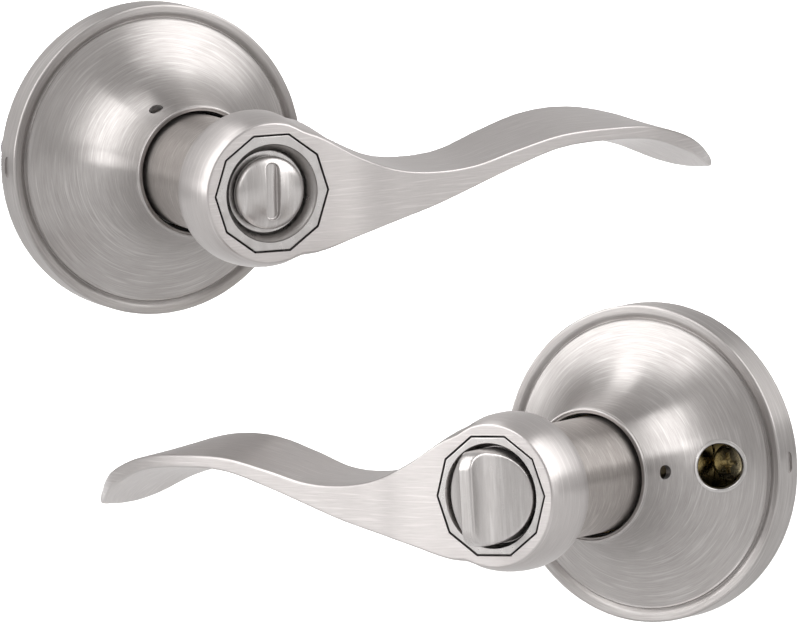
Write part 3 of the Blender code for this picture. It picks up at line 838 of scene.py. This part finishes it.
def lever_shape(half):
    """The lever's whole skin: a wall round the outline, and strips across the face and the back."""
    entries = lever_rail()
    shape = Shape()
    columns = []
    along = 0.0
    edge_before = Vector(entries[0][0])
    for entry in entries:
        ring = wall_ring(entry)
        columns.append(shape.add_ring([half.point(*p) for p in ring]))
        along += (Vector(entry[0]) - edge_before).length
        edge_before = Vector(entry[0])
        travelled = 0.0
        before = ring[0]
        for p in ring:
            travelled += (p - before).length
            before = p
            shape.grain.append((along * MM, travelled * MM))
    count = len(columns)
    for i in range(count):
        j = (i + 1) % count
        for k in range(len(columns[0]) - 1):
            shape.faces.append([columns[i][k], columns[j][k], columns[j][k + 1], columns[i][k + 1]])
    shape.flat_from = len(shape.faces)
    half_count = count // 2
    for level in (0, len(columns[0]) - 1):
        rows = []
        for i in range(half_count + 1):
            a = columns[i][level]
            b = columns[(count - 1 - i) % count][level]
            pa, pb = Vector(shape.points[a]), Vector(shape.points[b])
            if a == b:
                rows.append([a] * (STRIPS_ACROSS + 1))
                continue
            row = [a]
            for k in range(1, STRIPS_ACROSS):
                spot = pa.lerp(pb, k / STRIPS_ACROSS)
                row.append(len(shape.points))
                shape.points.append(tuple(spot))
                shape.grain.append((abs(spot[0]), spot[2]))
            row.append(b)
            rows.append(row)
        for first, second in zip(rows, rows[1:]):
            for k in range(STRIPS_ACROSS):
                corners = list(dict.fromkeys((first[k], first[k + 1], second[k + 1], second[k])))
                if len(corners) > 2:
                    shape.faces.append(corners)
    return shape


def make_lever(half):
    lever = make_skin(half, "lever", lever_shape(half), NICKEL_ALONG, 50)
    well = ((0, POCKET_FLOOR), (POCKET_RADIUS, POCKET_FLOOR), (POCKET_RADIUS, 70), (0, 70))
    pocket = turned(half, well, 10)
    bore = turned(half, ((0, 50), (LEVER_BORE, 50), (LEVER_BORE, 61.6), (0, 61.6)), 96)
    cut(lever, [pocket, bore])
    resmooth(lever, 50)
    settle(lever, half, half.name + "_handle", "satin_nickel", "lever")


# --- inserts and buttons


def decagon_rings(half, radius, levels):
    """Rings of a ten-sided plate, each level giving how far the outline is pulled in and its depth."""
    shape = Shape()
    rings = []
    for inset, forward in levels:
        ring = []
        for i in range(10):
            angle = 2 * math.pi * i / 10
            reach = (radius - inset) * math.cos(angle)
            height = (radius - inset) * math.sin(angle)
            ring.append(half.point(reach, forward, height))
        rings.append(shape.add_ring(ring))
    shape.skin(rings)
    shape.faces.append(rings[0])
    shape.faces.append(rings[-1])
    return shape


def make_button_insert(half):
    front = FACE_FORWARD - 0.02
    levels = ((0.3, INSERT_BACK), (0.0, INSERT_BACK + 0.3), (0.0, front - 0.22), (0.07, front - 0.07),
              (0.24, front))
    insert = make_skin(half, "button_insert", decagon_rings(half, INSERT_RADIUS, levels), NICKEL_CAST)
    deep, mouth = (10.1, 10.8) if half.name == "inside" else (8.7, 10.3)
    dish = [(0, INSERT_BACK - 2), (3.0, INSERT_BACK - 2), (3.0, 64.6), (deep - 0.15, 64.6), (deep, 65.0),
            (deep + 0.15 * (mouth - deep), 65.8), (mouth - 0.2, 67.25), (mouth, 67.6), (mouth + 0.3, 68.3),
            (0, 68.3)]
    cut(insert, [turned(half, dish, 128)])
    resmooth(insert, 30)
    settle(insert, half, half.name + "_handle", "satin_nickel", "button_insert")


def make_release_button(half):
    """The domed button with its coin slot, on a stem."""
    shoulder = RELEASE_EDGE - 0.3
    top = RELEASE_EDGE + RELEASE_DOME
    profile = [(0, STEM_BACK), (STEM_RADIUS, STEM_BACK), (STEM_RADIUS, 65.3), (RELEASE_RADIUS - 0.3, 65.3),
               (RELEASE_RADIUS, 65.6), (RELEASE_RADIUS, shoulder)]
    for i in range(1, 24):
        angle = math.pi / 2 * i / 24
        radius = RELEASE_RADIUS * math.cos(angle) ** 0.9
        profile.append((radius, shoulder + (top - shoulder) * math.sin(angle)))
    profile.append((0, top))
    button = make_skin(half, "release_button", turned(half, profile, 128), NICKEL_BUTTON)
    cut(button, [coin_slot(half, top)])
    soften(button, 0.12, 5)
    settle(button, half, "outside_button", "satin_nickel", "release_button")


def coin_slot(half, top):
    """An upright slot with round ends whose floor is hollowed lengthwise, as a disc cutter leaves it."""
    outline = slot_outline(*COIN_SLOT)
    shape = Shape()
    deepest = top - COIN_SLOT_DEPTH
    floor = shape.add_ring([half.point(x, deepest + z * z / 38, z + COIN_SLOT_RAISE) for x, z in outline])
    mouth = shape.add_ring([half.point(x, top + 2.0, z + COIN_SLOT_RAISE) for x, z in outline])
    shape.skin([floor, mouth])
    half_count = len(outline) // 2
    for i in range(half_count - 1):
        for ring in (floor, mouth):
            corners = list(dict.fromkeys((ring[i], ring[i + 1], ring[-2 - i], ring[-1 - i])))
            shape.faces.append(corners)
    return shape


def make_turn_button(half):
    """A round button scooped away on both sides, which leaves an upright fin to turn it by."""
    nose_radius, nose_depth = 3.6, 5.0
    shoulder = TURN_FRONT - nose_depth
    profile = [(0, STEM_BACK), (STEM_RADIUS, STEM_BACK), (STEM_RADIUS, 65.2), (TURN_RADIUS, 65.2),
               (TURN_RADIUS, shoulder)]
    for i in range(1, 16):
        angle = math.pi / 2 * i / 16
        radius = TURN_RADIUS - nose_radius + nose_radius * math.cos(angle)
        profile.append((radius, shoulder + nose_depth * math.sin(angle)))
    profile.append((0, TURN_FRONT))
    button = make_skin(half, "turn_button", turned(half, profile, 96), NICKEL_BUTTON)
    for way in (-1, 1):
        shape = Shape()
        rings = []
        for height in (-14, 14):
            ring = []
            for i in range(96):
                angle = 2 * math.pi * i / 96
                reach = way * (FIN_THICKNESS / 2 + SCOOP_RADIUS) + SCOOP_RADIUS * math.cos(angle)
                ring.append(half.point(reach, TURN_FRONT + 1.2 + SCOOP_RADIUS * math.sin(angle), height))
            rings.append(shape.add_ring(ring))
        shape.skin(rings)
        shape.faces.extend(rings)
        cut(button, [shape])
    soften(button, 0.2, 14)
    settle(button, half, "inside_button", "satin_nickel", "turn_button")


# --- chassis and fixings


def thread(half, centre, ends):
    """A rod whose surface follows a screw thread, at a reach and between two depths."""
    shape = Shape()
    rings = []
    rings_per_turn = 8
    sides = 24
    count = int(abs(ends[1] - ends[0]) / THREAD_PITCH * rings_per_turn)
    for n in range(count + 1):
        forward = ends[0] + (ends[1] - ends[0]) * n / count
        ring = []
        for i in range(sides):
            turn = i / sides
            saw = abs(((forward / THREAD_PITCH + turn) % 1.0) - 0.5) * 2
            taper = min(1.0, n / 6, (count - n) / 6)
            radius = SHANK_RADIUS - THREAD_DEPTH * (1 - saw * taper)
            angle = 2 * math.pi * turn
            ring.append(half.point(centre + radius * math.cos(angle), forward, radius * math.sin(angle)))
        rings.append(shape.add_ring(ring))
    shape.skin(rings)
    shape.faces.append(rings[0])
    shape.faces.append(rings[-1])
    return shape


def make_mounting_screw(half, part, reach):
    """A pan-headed screw with a cross recess."""
    seat = PLATE_THICKNESS + GAP
    top = seat + 4
    head = rounded([(0, seat + HEAD_HEIGHT), (HEAD_RADIUS, seat + HEAD_HEIGHT - 0.1, 1.6),
                    (HEAD_RADIUS, seat, 0.2), (0, seat)], steps=8)
    screw = make_skin(half, part, turned(half, head, 64, (reach, 0)), YELLOW_ZINC)
    cut(screw, [thread(half, reach, (SHANK_BACK, seat + 0.6))], "UNION")
    recess = []
    for wide, tall in CROSS_HALVES:
        recess.append(block(half, (reach - wide, reach + wide), (seat + 0.9, top), (-tall, tall)))
    core = ((0, seat + 0.6), (0.9, seat + 0.6), (1.25, top), (0, top))
    recess.append(turned(half, core, 24, (reach, 0), 0.1))
    cut(screw, recess)
    resmooth(screw, 35)
    settle(screw, half, "mounting", "yellow_zinc", part)


def make_screw_post(half, part, reach):
    """A tube riveted to the plate, which a screw from the other half enters."""
    front = PLATE_THICKNESS + GAP
    profile = rounded([(0, front + 0.9), (RIVET_RADIUS, front + 0.9, 0.5), (RIVET_RADIUS, front),
                       (POST_NECK_RADIUS, front), (POST_NECK_RADIUS, -GAP), (POST_RADIUS, -GAP),
                       (POST_RADIUS, POST_BACK, 0.4), (POST_BORE, POST_BACK, 0.4), (POST_BORE, -5), (0, -5)])
    post = make_skin(half, part, turned(half, profile, 64, (reach, 0)), ZINC)
    settle(post, half, "mounting", "zinc_steel", part)


def make_mount_plate(half):
    """A stamped disc with a seat ring, a raised ring, two screw holes and two long slots."""
    front = PLATE_THICKNESS
    profile = rounded([(PLATE_BORE, PLATE_RELIEF), (PLATE_SEAT_RADIUS, PLATE_RELIEF),
                       (PLATE_SEAT_RADIUS, 0.0), (PLATE_RADIUS, 0), (PLATE_RADIUS, front), (27.5, front),
                       (26.6, front + 0.6), (24.6, front + 0.6), (23.7, front), (PLATE_BORE, front)])
    plate = make_skin(half, "mount_plate", turned(half, profile, 160), YELLOW_ZINC)
    hole = ((0, -3), (SCREW_HOLE_RADIUS, -3), (SCREW_HOLE_RADIUS, 5), (0, 5))
    tools = [turned(half, hole, 32, (reach, 0), 0.05) for reach in (-SCREW_REACH, SCREW_REACH)]
    for way in (-1, 1):
        outline = [(x, z + way * PLATE_SLOT_HEIGHT) for z, x in slot_outline(*PLATE_SLOT)]
        tools.append(outline_block(half, outline, (-3, 5)))
    cut(plate, tools)
    resmooth(plate)
    settle(plate, half, "mounting", "yellow_zinc", "mount_plate")


def make_turned_piece(half, part, body, slot, material, profile, tools=(), segments=128, corner=0.25):
    """A piece turned from a profile with rounded corners, with cuts."""
    made = make_skin(half, part, turned(half, rounded(profile, corner), segments), material)
    if tools:
        cut(made, tools)
        resmooth(made)
    settle(made, half, body, slot, part)


def make_return_spring(half):
    """The torsion coil round the hub."""
    steps = 220
    points = []
    for i in range(steps + 1):
        angle = 2 * math.pi * SPRING_TURNS * i / steps
        forward = 4.2 + 3.8 * i / steps
        reach = SPRING_RADIUS * math.cos(angle)
        points.append(Vector(half.point(reach, forward, SPRING_RADIUS * math.sin(angle))))
    spring = make_skin(half, "return_spring", rod(points, SPRING_WIRE * MM), SPRING_STEEL)
    settle(spring, half, "mounting", "spring_steel", "return_spring")


def make_catch_spring(half):
    """A small coil between the hub's nose and the catch."""
    foot, head = COIL_ENDS
    steps = 60
    cos_pin = math.cos(half.pin_angle)
    sin_pin = math.sin(half.pin_angle)
    points = []
    for i in range(steps + 1):
        angle = 2 * math.pi * COIL_TURNS * i / steps
        radius = foot + (head - foot) * i / steps
        aside = COIL_RADIUS * math.cos(angle)
        reach = radius * cos_pin - aside * sin_pin
        height = radius * sin_pin + aside * cos_pin
        points.append(Vector(half.point(reach, CATCH_DEPTH + COIL_RADIUS * math.sin(angle), height)))
    spring = make_skin(half, "catch_spring", rod(points, COIL_WIRE * MM, 8), SPRING_STEEL)
    settle(spring, half, half.name + "_handle", "spring_steel", "catch_spring")
    root = Vector(half.point((foot - COIL_WIRE) * cos_pin, CATCH_DEPTH, (foot - COIL_WIRE) * sin_pin))
    tip = Vector(half.point(head * cos_pin, CATCH_DEPTH, head * sin_pin))
    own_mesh(spring)


def make_chassis(half):
    """The turning hub with its ring and neck sleeve, and the fixed spring case and bush."""
    handle = half.name + "_handle"
    socket = block(half, (-HUB_SOCKET, HUB_SOCKET), (-5, 6.0), (-HUB_SOCKET, HUB_SOCKET))
    hub = [(HUB_FLANGE_RADIUS, -2.6, 0.5), (HUB_FLANGE_RADIUS, -0.3), (HUB_BODY_RADIUS, -0.3),
           (HUB_BODY_RADIUS, 15.6), (HUB_NOSE_RADIUS, 15.6), (HUB_NOSE_RADIUS, 23.6), (HUB_BORE, 23.6),
           (HUB_BORE, -2.6)]
    make_turned_piece(half, "drive_hub", handle, "zinc_steel", ZINC, hub, [socket])
    gap_cut = block(half, (-1.8, 1.8), (0.9, 4), (-14, -6))
    ring = [(9.55, 1.9), (11.2, 1.9), (11.2, 2.9), (9.55, 2.9)]
    make_turned_piece(half, "retaining_ring", handle, "spring_steel", SPRING_STEEL, ring, [gap_cut], 96, 0.15)
    case = [(14.3, 1.9), (14.3, 9.8, 0.8), (9.9, 9.8), (9.9, 8.8), (13.3, 8.8), (13.3, 1.9)]
    make_turned_piece(half, "spring_case", "mounting", "yellow_zinc", YELLOW_ZINC, case)
    outer, inner = COLLAR_BORE - 0.05, NECK_RADIUS + 0.25
    bush = [(outer, 24.6), (outer, 26.8), (inner, 26.8), (inner, 24.6)]
    make_turned_piece(half, "collar_bush", "mounting", "black_nylon", BLACK_NYLON, bush)
    bead, end = NECK_RADIUS + 0.75, NECK_RADIUS + 0.1
    sleeve = [(NECK_RADIUS, 12.0), (NECK_RADIUS, 54.2, 0.1), (bead, 54.25, 0.3), (bead, 55.2, 0.2),
              (end, 55.3, 0.1), (end, 61.3), (SLEEVE_BORE, 61.3), (SLEEVE_BORE, 12.0)]
    make_turned_piece(half, "neck_sleeve", handle, "satin_nickel", NICKEL_NECK, sleeve, (), 192)
    make_return_spring(half)
    make_catch_spring(half)


def make_spindle(half):
    """A square tube with rounded corners."""
    corner_steps = 4
    diagonal = (SPINDLE_HALF - SPINDLE_CORNER) * math.sqrt(2)
    outline = []
    for corner in range(4):
        quarter = math.pi / 2 * corner
        middle = (diagonal * math.cos(math.pi / 4 + quarter), diagonal * math.sin(math.pi / 4 + quarter))
        for k in range(corner_steps + 1):
            angle = quarter + math.pi / 2 * k / corner_steps
            outline.append((middle[0] + SPINDLE_CORNER * math.cos(angle),
                            middle[1] + SPINDLE_CORNER * math.sin(angle)))
    spindle = make_skin(half, "spindle", outline_block(half, outline, SPINDLE_ENDS), ZINC)
    cut(spindle, [turned(half, ((0, -44), (SPINDLE_BORE, -44), (SPINDLE_BORE, 8), (0, 8)), 48)])
    resmooth(spindle)
    settle(spindle, half, "outside_handle", "zinc_steel", "spindle")


def finish_cad_nodes():
    """Small inner pieces keep their solids and take a finished material."""
    kept = {"outside_lever_catch": BLACK_STEEL, "inside_lever_catch": BLACK_STEEL, "outside_turn_bar": ZINC,
            "inside_turn_shaft": ZINC}
    for name, material in kept.items():
        node = frame["nodes"][name]
        node.data.materials.clear()
        node.data.materials.append(material)


# --- stage, light and camera


FLOOR_HEIGHT = -0.125
FLOOR_REACH = 40.0


def make_stage():
    """A plain pale floor that runs past the horizon of the view."""
    mesh = bpy.data.meshes.new("floor")
    ways = ((-1, -1), (1, -1), (1, 1), (-1, 1))
    mesh.from_pydata([(x * FLOOR_REACH, y * FLOOR_REACH, FLOOR_HEIGHT) for x, y in ways], [], [(0, 1, 2, 3)])
    floor = new_object("floor", mesh)
    nodes = Nodes("pale_floor")
    nodes.shader.inputs["Base Color"].default_value = (0.67, 0.67, 0.67, 1.0)
    nodes.shader.inputs["Roughness"].default_value = 0.9
    nodes.shader.inputs["Specular IOR Level"].default_value = 0.1
    mesh.materials.append(nodes.material)


def add_light(name, place, target, size, radiance, roll=0.0):
    """An area light given by what it looks like: its radiance, whatever its size."""
    light = bpy.data.lights.new(name, "AREA")
    light.shape = "RECTANGLE"
    light.size, light.size_y = size
    light.energy = radiance * math.pi * size[0] * size[1]
    lamp = new_object(name, light)
    lamp.location = place
    aim = (Vector(target) - Vector(place)).to_track_quat("-Z", "Y")
    spin = Matrix.Rotation(math.radians(roll), 3, "Z").to_quaternion()
    lamp.rotation_euler = (aim @ spin).to_euler()
    lamp.visible_camera = False
    return lamp


def make_lights():
    """Two large softboxes beside the set, small fills, and a narrow light on the floor behind it."""
    centre = (-0.05, -0.04, 0.03)
    add_light("softbox_left", (-1.02, -1.42, 1.40), centre, (2.35, 1.95), 2.45, -4)
    add_light("softbox_right", (1.58, 0.5, 1.38), centre, (2.15, 1.9), 2.45)
    add_light("overhead", (-0.9, 0.0, 1.75), centre, (0.9, 0.7), 2.4)
    add_light("front_left", (-1.75, -1.65, 0.3), centre, (1.7, 0.6), 3.1)
    add_light("right", (2.4, -0.2, 0.4), centre, (1.0, 1.2), 1.5)
    backdrop = add_light("backdrop", (-1.25, 2.05, 1.3), (-1.25, 2.05, 0.0), (1.1, 2.6), 3.0, 31.5)
    backdrop.data.spread = math.radians(75)


def make_world():
    world = bpy.data.worlds.new("studio")
    world.use_nodes = True
    bpy.context.scene.world = world
    background = world.node_tree.nodes["Background"]
    background.inputs["Color"].default_value = (1.0, 0.985, 0.98, 1.0)
    background.inputs["Strength"].default_value = 0.72


CAMERA_AZIMUTH = 31.67
CAMERA_ELEVATION = 4.94
CAMERA_ROLL = 3.12
CAMERA_DISTANCE = 4.112
CAMERA_LENS = 900.0
CAMERA_AIM = (-0.0303, -0.0500, 0.0361)


def make_camera():
    data = bpy.data.cameras.new("camera")
    data.lens = CAMERA_LENS
    data.sensor_width = 36.0
    camera = new_object("camera", data)
    azimuth, elevation = math.radians(CAMERA_AZIMUTH), math.radians(CAMERA_ELEVATION)
    level = math.cos(elevation)
    back = Vector((math.sin(azimuth) * level, -math.cos(azimuth) * level, math.sin(elevation)))
    roll = Matrix.Rotation(math.radians(-CAMERA_ROLL), 3, "Z").to_quaternion()
    camera.rotation_mode = "QUATERNION"
    camera.rotation_quaternion = (-back).to_track_quat("-Z", "Y") @ roll
    camera.location = Vector(CAMERA_AIM) + back * CAMERA_DISTANCE
    bpy.context.scene.camera = camera


def make_half(half):
    make_rose(half, access_holes=half.name == "inside")
    make_mount_plate(half)
    make_chassis(half)
    make_lever(half)
    make_button_insert(half)


outside = Half("outside", 1, math.radians(118))
inside = Half("inside", -1, math.pi)
for one_half in (outside, inside):
    make_half(one_half)
make_release_button(outside)
make_turn_button(inside)
make_spindle(outside)
for side_name, side_reach in (("left", -SCREW_REACH), ("right", SCREW_REACH)):
    make_screw_post(outside, "screw_post_" + side_name, side_reach)
    make_mounting_screw(inside, "mounting_screw_" + side_name, -side_reach)
finish_cad_nodes()
make_stage()
make_world()
make_lights()
make_camera()
bpy.context.scene.view_settings.view_transform = "Standard"
